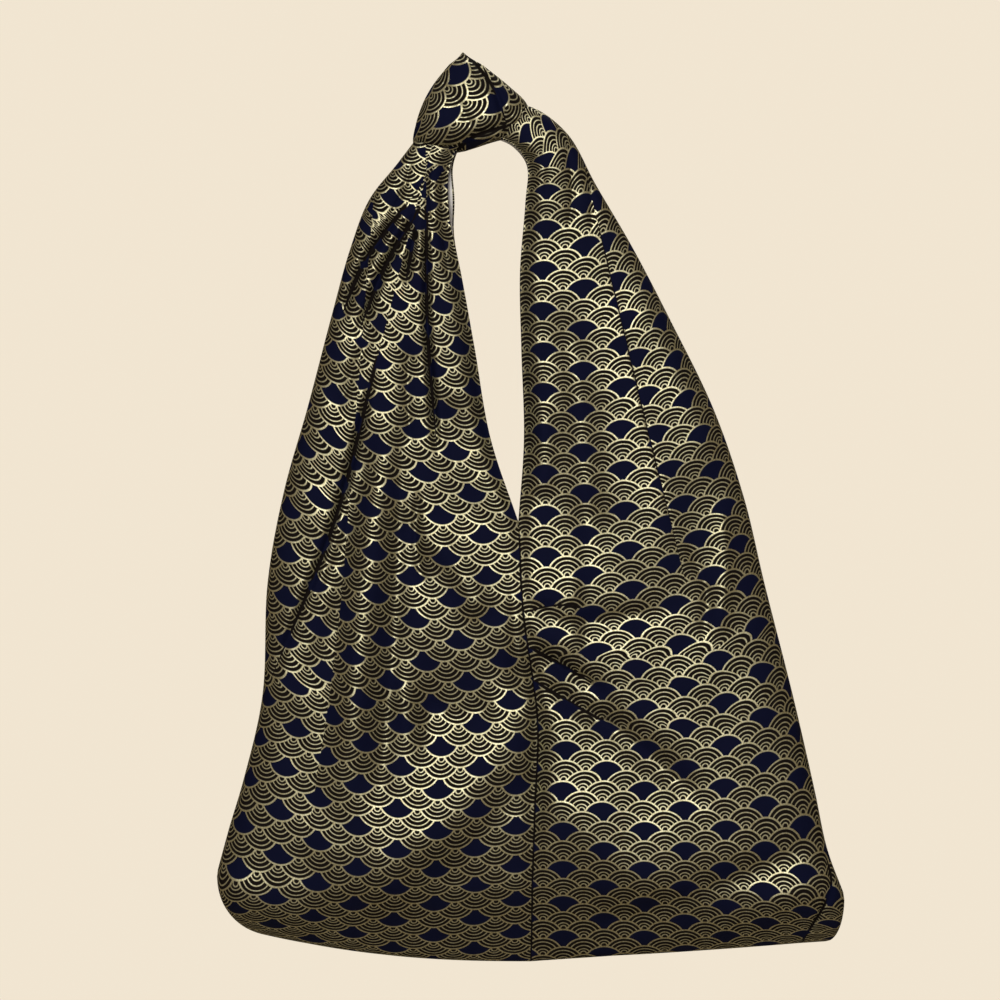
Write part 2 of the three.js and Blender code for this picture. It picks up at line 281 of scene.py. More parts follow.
# %% [markdown]
# ## Folds
# Limp cotton that is gathered into a knot falls in troughs. A cloth simulation would make folds,
# but not the ones this bag hangs in, so each fold is a line in the front view with a depth and a
# width. A crisp near 1 makes a sharp crease, 2 a round hollow, and a negative depth
# makes a ridge. A fold fades out at both ends, and a large fade_in lets it grow slowly. Folds that
# cross the seam belong to both panels, so that the sewn edges stay together.

# %% Folds that cross the seam
FOLD_END = 0.22
Fold = namedtuple("Fold", "start by end depth width crisp tuck fade_in", defaults=(FOLD_END,))

BELLY = Fold((-150, -535), (20, -528), (200, -540), -5.5, 50.0, 2.0, 0)
MOUTH_RIDGE = Fold((2, -352), (34, -352), (66, -352), -6, 38.0, 2.0, 0)
SEAM_HOLLOW = Fold((26, -375), (27, -440), (25, -510), 7, 11.0, 1.4, 0)
SHARED = (BELLY, MOUTH_RIDGE, SEAM_HOLLOW)
print(len(SHARED), "folds cross the seam")

# %% Folds of the left panel
LEFT_FRONT = [
    # Gathers below the knot
    Fold((-71, -50), (-101, -91), (-121, -138), 9, 3.6, 2.0, 14),
    Fold((-61, -53), (-84, -91), (-108, -150), 9, 3.4, 2.0, 14),
    Fold((-86, -125), (-109, -172), (-125, -210), 4, 6.0, 1.2, 0),
    Fold((-63, -66), (-66, -82), (-71, -112), 7, 3.0, 2.0, 6),
    Fold((-55, -50), (-54, -142), (-46, -242), 8, 2.8, 2.0, 18),
    Fold((-67, -150), (-69, -187), (-66, -236), 4, 5.0, 1.2, 0),
    Fold((-50, -16), (-52, -40), (-50, -64), 5, 3.5, 1.0, 0),
    Fold((-66, -14), (-72, -36), (-84, -60), 5, 3.5, 1.0, 0),
    Fold((-43, -20), (-43, -60), (-37, -116), 4, 4.0, 1.0, 0),
    # Long falls from the strap to the base
    Fold((-92, -165), (-124, -287), (-178, -420), 7, 3.0, 2.0, 12),
    Fold((-94, -210), (-117, -305), (-164, -418), 7, 11.0, 2.0, 0),
    Fold((-60, -258), (-63, -298), (-56, -338), 5, 4.0, 1.4, 0),
    Fold((-72, -200), (-79, -370), (-92, -520), 5, 8.0, 1.7, 0),
    Fold((-79, -130), (-96, -300), (-118, -520), -11, 13.0, 2.2, 0, 0.8),
    Fold((-109, -225), (-121, -370), (-146, -540), 1.2, 3.5, 1.4, 10),
    # Slack beside the seam
    Fold((-40, -185), (-34, -245), (-16, -300), 5, 14.0, 1.4, 0),
    Fold((-58, -290), (-28, -324), (-14, -362), -6, 11.0, 2.0, 0),
    Fold((-59, -340), (-57, -382), (-54, -420), -1.5, 8.0, 1.8, 0),
    Fold((-72, -428), (-25, -424), (24, -402), 10, 36.0, 2.0, 0),
    Fold((-56, -416), (-34, -431), (-2, -419), 3, 6.0, 1.5, 0),
    Fold((24, -400), (-34, -496), (-130, -578), -7, 22.0, 2.0, 0),
    Fold((24, -468), (-14, -516), (-54, -564), 3, 13.0, 1.7, 0),
    *SHARED,
    # Ridge to the corner
    Fold((-222, -556), (-186, -574), (-130, -592), -13, 19.0, 2.0, 0),
]
LEFT_BACK = [
    Fold((-62, -50), (-80, -160), (-120, -330), 7, 11.0, 1.4, 0),
    Fold((-48, -50), (-50, -180), (-46, -340), 5, 12.0, 1.4, 0),
    Fold((-78, -46), (-104, -110), (-128, -170), 7, 6.0, 1.1, 0),
    Fold((22, -390), (-20, -470), (-90, -545), -8, 18.0, 2.0, 0),
]
print("left panel:", len(LEFT_FRONT), "folds in front,", len(LEFT_BACK), "at the back")

# %% Folds of the right panel
DART = Fold((74, -66), (107, -205), (138, -330), 0.8, 0.9, 2.0, 80)
RIGHT_FRONT = [
    # Bend under the knot
    Fold((50, 0), (54, -42), (50, -70), 5, 4.0, 1.0, 0),
    Fold((62, -14), (68, -40), (68, -72), 4, 4.0, 1.0, 0),
    Fold((32, 2), (33, -22), (30, -46), 3, 4.0, 1.2, 0),
    # Falls of the strap
    DART,
    Fold((46, -110), (60, -210), (68, -330), 6, 12.0, 1.8, 0),
    Fold((66, -80), (104, -220), (122, -350), -8, 25.0, 2.0, 0, 0.8),
    Fold((98, -105), (135, -176), (168, -255), -8, 20.0, 2.0, 0),
    Fold((29, -190), (34, -232), (30, -272), -3, 8.0, 2.0, 0),
    *SHARED,
    Fold((137, -298), (154, -337), (150, -376), 4, 5.0, 1.3, 0),
    Fold((166, -266), (168, -322), (160, -376), -4, 7.0, 1.8, 0),
    # Slack beside the seam
    Fold((10, -342), (48, -360), (140, -348), 6, 7.0, 1.5, 0),
    Fold((18, -373), (45, -393), (86, -418), 7, 5.5, 1.5, 0),
    Fold((24, -400), (84, -438), (160, -504), 9, 12.0, 1.7, 0),
    Fold((32, -464), (78, -540), (172, -552), -4, 24.0, 2.0, 0),
    Fold((50, -594), (160, -556), (250, -518), 4.5, 9.0, 1.7, 0),
    Fold((50, -634), (160, -590), (266, -544), -6.5, 13.0, 1.8, 0),
    # Flap at the corner
    Fold((227, -598), (247, -557), (242, -530), 6, 2.0, 2.0, -8),
    # Short pleats out of the seam
    Fold((19, -352), (44, -347), (72, -352), 3, 1.5, 2.0, 3),
    Fold((25, -380), (46, -392), (72, -407), 4, 2.6, 2.0, 4),
    Fold((26, -404), (58, -423), (92, -442), 4, 2.4, 2.0, 4),
]
RIGHT_BACK = [
    Fold((40, -30), (66, -150), (92, -330), 7, 11.0, 1.4, 0),
    Fold((28, -60), (36, -180), (44, -350), 4, 12.0, 1.4, 0),
    Fold((30, -360), (80, -380), (150, -400), 5, 11.0, 1.5, 0),
    Fold((28, -440), (80, -500), (160, -560), -7, 18.0, 2.0, 0),
]
print("right panel:", len(RIGHT_FRONT), "folds in front,", len(RIGHT_BACK), "at the back")

# %% What one fold does to the cloth
FOLD_POINTS = 25


def smoothstep(low, high, value):
    """0 below low, 1 above high, and a smooth rise between them."""
    share = np.clip((value - low) / (high - low), 0, 1)
    return share * share * (3 - 2 * share)


def fold_line(fold):
    """Points of a fold's line in the front view."""
    return smooth_through((fold.start, fold.by, fold.end), np.linspace(0, 2, FOLD_POINTS))


def beside_line(line, x, z):
    """Distance of places from a line of the front view, on which side they lie, and how far along."""
    nearest = np.full(x.shape, np.inf)
    side = np.zeros(x.shape)
    along = np.zeros(x.shape)
    count = len(line) - 1
    for step in range(count):
        start, way = line[step], line[step + 1] - line[step]
        across_x, across_z = x - start[0], z - start[1]
        share = np.clip((across_x * way[0] + across_z * way[1]) / (way @ way), 0, 1)
        distance = np.hypot(across_x - share * way[0], across_z - share * way[1])
        closer = distance < nearest
        nearest = np.where(closer, distance, nearest)
        turn = way[0] * across_z - way[1] * across_x
        side = np.where(closer, np.sign(turn), side)
        along = np.where(closer, (step + share) / count, along)
    return nearest, side, along


def fold_depth(fold, x, z):
    """How deep a fold draws the cloth in at each place."""
    distance, _, along = beside_line(fold_line(fold), x, z)
    fade = smoothstep(0, fold.fade_in, along) * smoothstep(0, FOLD_END, 1 - along)
    return fold.depth * fade * np.exp(-((distance / fold.width) ** fold.crisp))


seam_middle = np.array(SEAM_HOLLOW.by, float)
print("hollow at the seam:", fold_depth(SEAM_HOLLOW, seam_middle[:1], seam_middle[1:]).round(1), "mm")

# %% [markdown]
# ## Pleats
# Where cloth is laid in a pleat, a strip of it is swallowed and the print jumps at the line. A
# fold's tuck is that strip's width in millimetres at the start of the fold, and it runs out to
# nothing at the end. The mesh could be cut along the line, but then it would no longer be one
# sheet. So every point keeps, for each pleat, on which side of the line it is and how far the
# print moves beyond it, and the material does the rest. A negative tuck moves the other side.
# Down in a round pleat the foil is left out as painted shade; its distance counts in widths of that strip.

# %% What a pleat swallows
ROUND_CRISP = 2.0
SHADED_STRIP_SHARE = 0.6
SHADED_STRIP_FADE = 0.35
LEAST_SHADED_STRIP = 0.05


def swallowed_print(panel, fold, x, z):
    """Signed distance from a pleat's line, 1 where the painted shade of its crease ends and foil starts,
    and how far the print moves beyond it.
    """
    line = fold_line(fold)
    distance, side, along = beside_line(line, x, z)
    way = (line[-1] - line[0]) / np.linalg.norm(line[-1] - line[0])
    tuck = fold.tuck * (1 - along)
    # A round pleat gets a strip of painted shade along its crease, where the foil is left out.
    shaded_strip = SHADED_STRIP_SHARE * fold.width * (fold.crisp >= ROUND_CRISP) * smoothstep(0, SHADED_STRIP_FADE, 1 - along)
    beyond = distance * side * np.sign(fold.tuck) / np.maximum(LEAST_SHADED_STRIP, shaded_strip)
    return np.stack([beyond, -panel.side * way[1] * tuck, way[0] * tuck], axis=-1)


print("pleats swallow", [fold.tuck for fold in LEFT_FRONT + RIGHT_FRONT if fold.tuck], "mm")

# %% [markdown]
# ## Draping a panel
# A row of cloth runs from the front inner edge round the outer fold to the back inner edge. Seen
# from above it is half an oval, flattened where the folds and the sewn seam draw it in. The belly
# falls back to the base line below two ridges that run down from the seam like a tent. All of this
# is worked out as arrays first, rows by columns, because that is quick and easy to measure.

# %% Small waves, and the fall to the base line
WAVES = 7
WAVE_HEIGHT = 0.22
WAVE_LENGTHS = (28, 75)
TENT_TOP = (19, -476)
TENT_FALL_LEFT = 0.77
TENT_FALL_RIGHT = 0.93
TENT_LOW = -562
TENT_SOFTNESS = 8
UNDERCUT = 0.22
UNDERCUT_MOST = 9


def unevenness(x, z, seed):
    """Small soft waves, as handled cloth has them."""
    draw = np.random.default_rng(seed)
    height = np.zeros(x.shape)
    for _ in range(WAVES):
        angle = draw.uniform(0, 2 * math.pi)
        length = draw.uniform(*WAVE_LENGTHS)
        phase = draw.uniform(0, 2 * math.pi)
        way = (x * math.cos(angle) + z * math.sin(angle)) * 2 * math.pi / length
        height += WAVE_HEIGHT * np.sin(way + phase)
    return height


def undercut(x, z):
    """How far the belly falls back below the two ridges that run down from the seam like a tent."""
    slope = np.where(x < TENT_TOP[0], TENT_FALL_LEFT, TENT_FALL_RIGHT)
    edge = np.maximum(TENT_LOW, TENT_TOP[1] - slope * np.abs(x - TENT_TOP[0]))
    below = edge - z
    fall = UNDERCUT * (below + np.hypot(below, TENT_SOFTNESS)) / 2
    return UNDERCUT_MOST * np.tanh(fall / UNDERCUT_MOST)


print("above the base the belly falls back by", undercut(BASE_FOOT[0], BASE_FOOT[2]).round(1), "mm")

# %% The draped surface
CROWDING = 1.5
SECTION_POWER = 4.0
GROOVE_DEPTH = 4.0
GROOVE_WIDTH = 6
EDGE_TURN = 9
EDGE_WIDTH = 8
STRAP_START = (-300, -190)
SEAM_HOLD = 7
PUCKER_HEIGHT = 0.5
PUCKER_LENGTH = 21
PUCKER_REACH = 15
THIN_STRAP = 36
LEAST_DEPTH = 0.25


def draped(panel, places, across, folds, seed):
    """Places of one face of a panel, rows by columns: x, depth from the middle, and z."""
    inner, outer = row_ends(panel, places)
    reach = (1 - np.abs(across) ** CROWDING)[None, :]
    x = inner[:, :1] + (outer[:, :1] - inner[:, :1]) * reach
    above_base = np.clip(1 + np.asarray(places), 0, 1)[:, None]
    bow = panel.base_bow + (panel.bow - panel.base_bow) * above_base
    z = inner[:, 2:] + (outer[:, 1:] - inner[:, 2:]) * reach ** bow
    fullness = np.maximum(0, 1 - reach ** SECTION_POWER) ** (1 / SECTION_POWER)
    from_edge = np.abs(x - inner[:, :1])
    drawn = GROOVE_DEPTH * np.exp(-((from_edge / GROOVE_WIDTH) ** 2))
    on_strap = smoothstep(*STRAP_START, inner[:, 2:])
    drawn = drawn + EDGE_TURN * on_strap * np.exp(-((from_edge / EDGE_WIDTH) ** 2))
    puckers = np.sin(2 * math.pi * z / PUCKER_LENGTH) * np.exp(-from_edge / PUCKER_REACH)
    free = 1 - (1 - on_strap) * np.exp(-((from_edge / SEAM_HOLD) ** 2))
    drawn = drawn + PUCKER_HEIGHT * puckers + unevenness(x, z, seed) * free + undercut(x, z)
    for fold in folds:
        drawn = drawn + fold_depth(fold, x, z) * (1 if fold in SHARED else free)
    room = np.minimum(1, inner[:, 1:2] / THIN_STRAP)
    full = inner[:, 1:2] * fullness
    depth = np.maximum(LEAST_DEPTH * full, full - drawn * fullness * room)
    return x, depth, z


print("folds keep", SEAM_HOLD, "mm away from the seam, unless they cross it")

# %% Rows spaced evenly along the cloth
ROWS = 226
STRAP_FINENESS = 0.9
FINE_PLACES = 1500
MEASURED_ACROSS = np.array((-0.6, -0.3))


def even_places(panel):
    """Places of the rows, spaced evenly along the middle of the front and closer on the strap."""
    last = len(panel.seam) + len(panel.strap) - 1
    fine = np.linspace(-1, last, FINE_PLACES)
    x, depth, z = draped(panel, fine, MEASURED_ACROSS, [], 0)
    steps = np.sqrt(np.diff(x, axis=0) ** 2 + np.diff(depth, axis=0) ** 2 + np.diff(z, axis=0) ** 2)
    finer = 1 + STRAP_FINENESS * smoothstep(*STRAP_START, z[1:].mean(axis=1))
    length = np.concatenate([[0], np.cumsum(steps.mean(axis=1) * finer)])
    return np.interp(np.linspace(0, length[-1], ROWS + 1), length, fine)


print("rows of the left panel that turn under the base:", int((even_places(LEFT) < 0).sum()))

# %% [markdown]
# ## Where the print lies
# The print is on the cloth before it is sewn, so it must not stretch with the mesh. Every point
# keeps how much cloth lies between it and the panel's inner edge and base, counted in scales, and
# that goes into a UV map. Where cloth is gathered near the knot, more of it lies on the same way.
# Printed rows rise towards the sides and beyond the dart, where the cloth has slid down.

# %% How far the cloth has slid
DART_RISE = math.tan(math.radians(5))
DART_RISE_START = (-450, -230)
SIDE_RISE = math.tan(math.radians(6))
SIDE_START = -115
SEAM_RISE = math.tan(math.radians(4))
SEAM_START = -50


def row_lift(panel, x, z):
    """How far the cloth has slid down, so that its printed rows rise towards the sides."""
    if panel.side < 0:
        return SIDE_RISE * np.maximum(0, SIDE_START - x) + SEAM_RISE * np.maximum(0, x - SEAM_START)
    line = fold_line(DART)[::-1]
    beyond = np.maximum(0, x - np.interp(z, line[:, 1], line[:, 0]))
    return DART_RISE * smoothstep(*DART_RISE_START, z) * beyond


left_rim = LEFT.seam["rim"]
print("rows rise", row_lift(LEFT, *left_rim).round(1), "mm towards the left corner")

# %% Print coordinates
FRONT_COLUMNS = 168
BACK_COLUMNS = 48
SCALE = 30.4
PRINT_START = {"left_panel": (0.425, 0.286), "right_panel": (1.2, 0.493)}
GATHER = {"left_panel": 0.12, "right_panel": 0.3}
GATHER_START = {"left_panel": (-230, -120), "right_panel": (-70, 0)}
MEASURED_COLUMNS = slice(FRONT_COLUMNS // 6, FRONT_COLUMNS * 3 // 4)


def print_places(panel, points):
    """How much cloth lies between each point and the start of the print, in scales."""
    steps = np.linalg.norm(np.diff(points, axis=1), axis=2)
    u = np.concatenate([np.zeros((len(points), 1)), np.cumsum(steps, axis=1)], axis=1)
    gathered = 1 + GATHER[panel.name] * smoothstep(*GATHER_START[panel.name], points[:, :1, 2])
    u = u * gathered
    # Below the rim the back's inner edge keeps the girth of the rim, so that its print stays straight
    above_rim = points[:, FRONT_COLUMNS, 2] >= panel.seam["rim"][1]
    girth = u[:, -1]
    held = np.where(above_rim, girth, girth[above_rim][0])
    u[:, FRONT_COLUMNS + 1:] += (held - girth)[:, None]
    rise = np.linalg.norm(np.diff(points, axis=0), axis=2)
    front = rise[:, MEASURED_COLUMNS].mean(axis=1) * gathered[1:, 0]
    v = np.concatenate([[0], np.cumsum(front)])[:, None] + np.zeros(u.shape)
    lift = row_lift(panel, points[:, :, 0], points[:, :, 2])
    lift[:, FRONT_COLUMNS + 1:] = lift[:, FRONT_COLUMNS: FRONT_COLUMNS + 1]
    start = PRINT_START[panel.name]
    return panel.side * u / SCALE + start[0], panel.side * (v - lift) / SCALE + start[1]


print("one scale is", SCALE, "mm wide, and the left print stands upside down")

# %% [markdown]
# ## The sewn seam and the pale edge
# Along the sewn seam the foil is left out, a dark line of painted shade for the seam's crease. A
# separate strip of dark cloth could lie there, but the seam can be told like a pleat that swallows
# nothing, and then the same sheet shows it. Under the knot, the back layer of the left strap comes
# forward past the front one, and its pale reverse shows as a sliver.

# %% The seam's line and the peeking edge
SEAM_SHADE_WIDTH = 1.2
SEAM_END = (-300, -284)
OFF_THE_LINE = 2
NO_SHIFT = 1e-4
PEEK = 5
PEEK_DEPTH = -12
PEEK_HEIGHT = -42
PEEK_REACH = 24
PEEK_POWER = 8


def sewn_line(points):
    """Painted shade along the sewn seam: a strip without foil, told like a pleat that swallows nothing."""
    # Painted shade: the foil is left out within this width of the seam's line.
    beside = np.abs(points[:, :, 0] - points[:, :1, 0]) / SEAM_SHADE_WIDTH
    beside = beside + OFF_THE_LINE * smoothstep(*SEAM_END, points[:, :, 2])
    still = np.full(beside.shape, NO_SHIFT)
    return np.stack([beside, still, still], axis=2)


def with_peeking_edge(panel, across, x, depth, z):
    """The back layer, brought forward past the front at the left strap's inner edge, under the knot."""
    near = np.exp(-(((z[:, -1:] - PEEK_HEIGHT) / PEEK_REACH) ** 2))
    peek = (panel.side < 0) * near * across ** PEEK_POWER
    return x + PEEK * peek, depth + (PEEK_DEPTH - depth) * peek


print("the pale edge peeks out by", PEEK, "mm at most")

# %% The panels as arrays
LEFT_SEED = 11
RIGHT_SEED = 23


def carried_round(shift):
    """A pleat's numbers, with those at the outer fold carried on over the back, on one side of its line."""
    back = np.repeat(shift[:, -1:], BACK_COLUMNS, axis=1)
    strongest = np.abs(shift[:, -1, 1:]).sum(axis=1).argmax()
    back[:, :, 0] = OFF_THE_LINE * np.sign(shift[strongest, -1, 0])
    return np.concatenate([shift, back], axis=1)


def panel_arrays(panel, front_folds, back_folds, seed):
    """All points of a panel in millimetres, rows by columns, their print coordinates and its pleats."""
    places = even_places(panel)
    front = np.linspace(-1, 0, FRONT_COLUMNS + 1)
    back = np.linspace(0, 1, BACK_COLUMNS + 1)[1:]
    front_x, front_depth, front_z = draped(panel, places, front, front_folds, seed)
    back_x, back_depth, back_z = draped(panel, places, back, back_folds, seed + 1)
    back_x, back_depth = with_peeking_edge(panel, back, back_x, back_depth, back_z)
    both = ((front_x, back_x), (-front_depth, back_depth), (front_z, back_z))
    points = np.stack([np.hstack(pair) for pair in both], axis=2)
    pleats = [sewn_line(points)]
    for fold in front_folds:
        if fold.tuck:
            shift = carried_round(swallowed_print(panel, fold, front_x, front_z))
            pleats.append(shift * (1, panel.side / SCALE, panel.side / SCALE))
    return points, print_places(panel, points), pleats


left_arrays = panel_arrays(LEFT, LEFT_FRONT, LEFT_BACK, LEFT_SEED)
right_arrays = panel_arrays(RIGHT, RIGHT_FRONT, RIGHT_BACK, RIGHT_SEED)
print("rows and columns:", left_arrays[0].shape[:2], right_arrays[0].shape[:2])

# %% [markdown]
# ## The sheets
# Each panel starts as a flat grid from one operator, like cloth on the table. Every point of the
# grid is then moved to its place on the bag, and its print coordinates and pleats go with it.
# Points of the front and the back that meet on the base line are merged.

# %% The sheets
MERGE = 1e-6


def keep_pleats(mesh, pleats):
    """Keeps pleats, three numbers for each point, as attributes of a bmesh's points."""
    for number, pleat in enumerate(pleats):
        layer = mesh.verts.layers.float_vector.new(f"pleat_{number}")
        for vertex, numbers in zip(mesh.verts, pleat):
            vertex[layer] = numbers


def panel_sheet(panel, points, print_at, pleats):
    """A panel as a draped grid, its faces pointing out, with a UV map named cloth and its pleats."""
    rows, columns = points.shape[0] - 1, points.shape[1] - 1
    sheet = bmesh.new()
    bmesh.ops.create_grid(sheet, x_segments=columns, y_segments=rows, size=1)
    flat = (np.array([vertex.co[:2] for vertex in sheet.verts]) + 1) / 2
    column, row = np.rint(flat * (columns, rows)).astype(int).T
    for vertex, point in zip(sheet.verts, points[row, column]):
        vertex.co = point * MM
    keep_pleats(sheet, [pleat[row, column] for pleat in pleats])
    u, v = (places[row, column] for places in print_at)
    cloth = sheet.loops.layers.uv.new("cloth")
    sheet.verts.index_update()
    for face in sheet.faces:
        face.smooth = True
        for loop in face.loops:
            loop[cloth].uv = (u[loop.vert.index], v[loop.vert.index])
    if panel.side < 0:
        bmesh.ops.reverse_faces(sheet, faces=sheet.faces)
    bmesh.ops.remove_doubles(sheet, verts=sheet.verts, dist=MERGE)
    return sheet


left_sheet = panel_sheet(LEFT, *left_arrays)
right_sheet = panel_sheet(RIGHT, *right_arrays)
print("faces of the sheets:", len(left_sheet.faces), len(right_sheet.faces))

# %% [markdown]
# ## Shader maths
# The print is a formula, and a formula reads best as arithmetic. One small class wraps a socket,
# so that an expression adds the Math nodes that it needs. Another holds a material and adds any
# other node.

# %% Shader maths
class Value:
    """A number that a material works out. Arithmetic on it adds Math nodes."""

    def __init__(self, finish, socket):
        self.finish = finish
        self.socket = socket

    def math(self, operation, *others):
        return self.finish.maths(operation, self, *others)

    def __add__(self, other):
        return self.math("ADD", other)

    def __sub__(self, other):
        return self.math("SUBTRACT", other)

    def __rsub__(self, other):
        return self.finish.maths("SUBTRACT", other, self)

    def __mul__(self, other):
        return self.math("MULTIPLY", other)

    def __truediv__(self, other):
        return self.math("DIVIDE", other)

    def __lt__(self, other):
        return self.math("LESS_THAN", other)

    def __gt__(self, other):
        return self.math("GREATER_THAN", other)

    def floor(self):
        return self.math("FLOOR")

    def fraction(self):
        return self.math("FRACT")

    def root(self):
        return self.math("SQRT")

    def size(self):
        return self.math("ABSOLUTE")

    def at_most(self, other):
        return self.math("MINIMUM", other)

    def at_least(self, other):
        return self.math("MAXIMUM", other)


class Finish:
    """A material and its nodes."""

    def __init__(self, name):
        self.material = bpy.data.materials.new(name)
        self.material.use_nodes = True
        self.tree = self.material.node_tree
        self.tree.nodes.clear()

    def feed(self, socket, value):
        if isinstance(value, Value):
            value = value.socket
        if isinstance(value, bpy.types.NodeSocket):
            self.tree.links.new(value, socket)
        else:
            socket.default_value = value

    def node(self, kind, settings=None, sockets=None):
        made = self.tree.nodes.new(kind)
        for name, value in (settings or {}).items():
            setattr(made, name, value)
        for name, value in (sockets or {}).items():
            self.feed(made.inputs[name], value)
        return made

    def number(self, kind, settings, sockets):
        return Value(self, self.node(kind, settings, sockets).outputs[0])

    def maths(self, operation, *values):
        return self.number("ShaderNodeMath", {"operation": operation}, dict(enumerate(values)))

    def parts(self, vector):
        """The three numbers of a vector."""
        split = self.node("ShaderNodeSeparateXYZ", {}, {"Vector": vector})
        return [Value(self, output) for output in split.outputs]

    def cloth_map(self):
        return self.node("ShaderNodeUVMap", {"uv_map": "cloth"}).outputs["UV"]

    def noise(self, vector, scale):
        sockets = {"Vector": vector, "Scale": scale, "Detail": 2.0}
        return self.number("ShaderNodeTexNoise", {}, sockets)

    def mixed(self, share, first, second):
        """A colour between two colours."""
        return self.node("ShaderNodeMix", {"data_type": "RGBA"}, {0: share, 6: first, 7: second}).outputs[2]

    def bumped(self, height, strength, distance):
        sockets = {"Strength": strength, "Distance": distance, "Height": height}
        return self.node("ShaderNodeBump", {}, sockets).outputs["Normal"]

    def surface(self, sockets):
        shader = self.node("ShaderNodeBsdfPrincipled", {}, sockets)
        self.node("ShaderNodeOutputMaterial", {}, {"Surface": shader.outputs[0]})


print("shader helpers ready")

# %% [markdown]
# ## The wave-scale print
# The print is the old wave pattern of overlapping scales: discs in staggered rows, each row laid
# over the one above it, with thin rings inside. A picture of it could be painted on, but a formula
# stays sharp at any size. The lowest disc that covers a point is the one that shows. Every other
# scale in every other row is plain navy inside its gold outline.

# %% The wave scales as a mask
ROW_PITCH = 7.9 / SCALE
RADIUS = 15.0 / SCALE
OUTLINE_START = 0.922
RINGS = (0.74, 0.515, 0.305, 0.145)
RING_HALF_WIDTH = 0.023
EDGE_SOFTNESS = 0.015


def soft_step(value, low, high):
    """0 below low, 1 above high, straight between."""
    share = (value - low) / (high - low)
    return share.at_least(0.0).at_most(1.0)


def band(value, middle, half_width):
    """1 in a band round a middle, with soft edges."""
    return 1 - soft_step((value - middle).size(), half_width - EDGE_SOFTNESS, half_width + EDGE_SOFTNESS)


def scale_at(u, v, row):
    """Distance from a row's nearest disc middle in radii, and 1 where that disc is plain inside."""
    # Odd rows are staggered by half a scale, and have no plain scales
    parity = (row * 0.5).fraction() * 2
    along = u - parity * 0.5
    index = (along + 0.5).floor()
    side = along - index
    up = v - row * ROW_PITCH
    distance = (side * side + up * up).root() / RADIUS
    every_other = ((index + row * 0.5 + 0.25) * 0.5).fraction() < 0.5
    plain = every_other * (parity < 0.5)
    return distance, plain


def wave_scales(u, v):
    """1 where the print has gold, and 1 where the scale that shows is plain inside."""
    lowest = ((v - RADIUS) / ROW_PITCH).math("CEIL")
    shown, plain = scale_at(u, v, lowest + 2)
    for step in (1, 0):
        distance, solid = scale_at(u, v, lowest + step)
        inside = distance < 1.0
        shown = shown + (distance - shown) * inside
        plain = plain + (solid - plain) * inside
    gold = soft_step(shown, OUTLINE_START - EDGE_SOFTNESS, OUTLINE_START + EDGE_SOFTNESS)
    for ring in RINGS:
        gold = gold.at_least(band(shown, ring, RING_HALF_WIDTH) * (1 - plain))
    return gold, plain


print("a scale has", len(RINGS), "rings inside its outline")

# %% [markdown]
# ## Gold foil on navy cotton
# The scales are thin gold foil, pressed on dark cotton. Foil is metal and mirrors the lamps, while
# the cotton between is dull, so one mask drives the colour, the metal and the roughness. The foil
# is grainy where it has worn, the threads of the weave give a fine bump, and the foil lies a little
# higher than the cotton.

# %% The print in the pleats
PLEATS = max(len(left_arrays[2]), len(right_arrays[2]))
NO_PLEAT = 1e-5
SHADE_EDGE = (0.7, 1.1)


def laid_print(finish, uv):
    """Print coordinates with what the pleats swallow left out, and a mask: 1 where foil shows, 0 where it
    is left out as painted shade in creases and along the seam.
    """
    u, v, _ = finish.parts(uv)
    shown = 1.0
    for number in range(PLEATS):
        pleat = finish.node("ShaderNodeAttribute", {"attribute_name": f"pleat_{number}"})
        side, along_u, along_v = finish.parts(pleat.outputs["Vector"])
        beyond = side > 0.0
        no_pleat = along_u.size() + along_v.size() < NO_PLEAT
        # Painted shade: the foil is left out in pleat creases and along the sewn seam.
        shown = soft_step(side.size() + no_pleat * OFF_THE_LINE, *SHADE_EDGE) * shown
        u = u + beyond * along_u
        v = v + beyond * along_v
    return u, v, shown


print("the material reads", PLEATS, "pleats")

# %% Printed cotton
NAVY = (0.0028, 0.0042, 0.0200, 1)
NAVY_WORN = (0.0045, 0.0060, 0.0270, 1)
INK = (0.0078, 0.0055, 0.0048, 1)
GOLD = (0.80, 0.785, 0.56, 1)
GOLD_DULL = (0.52, 0.46, 0.25, 1)
WEAVE_THREADS = 46
FOIL_GRAIN = 26
NAVY_CLOUD = 0.9
WEAR_RANGE = (0.35, 0.62)
THREAD_HEIGHT = 0.4
GRAIN_HEIGHT = 0.6
FOIL_HEIGHT = 0.5
BUMP_STRENGTH = 0.25
BUMP_HEIGHT = 0.4 * MM
FOIL_METAL = 0.92
COTTON_ROUGHNESS = 0.78
FOIL_SMOOTHER = 0.36
BRIGHT_FOIL_SMOOTHER = 0.06
COTTON_SHINE = 0.06


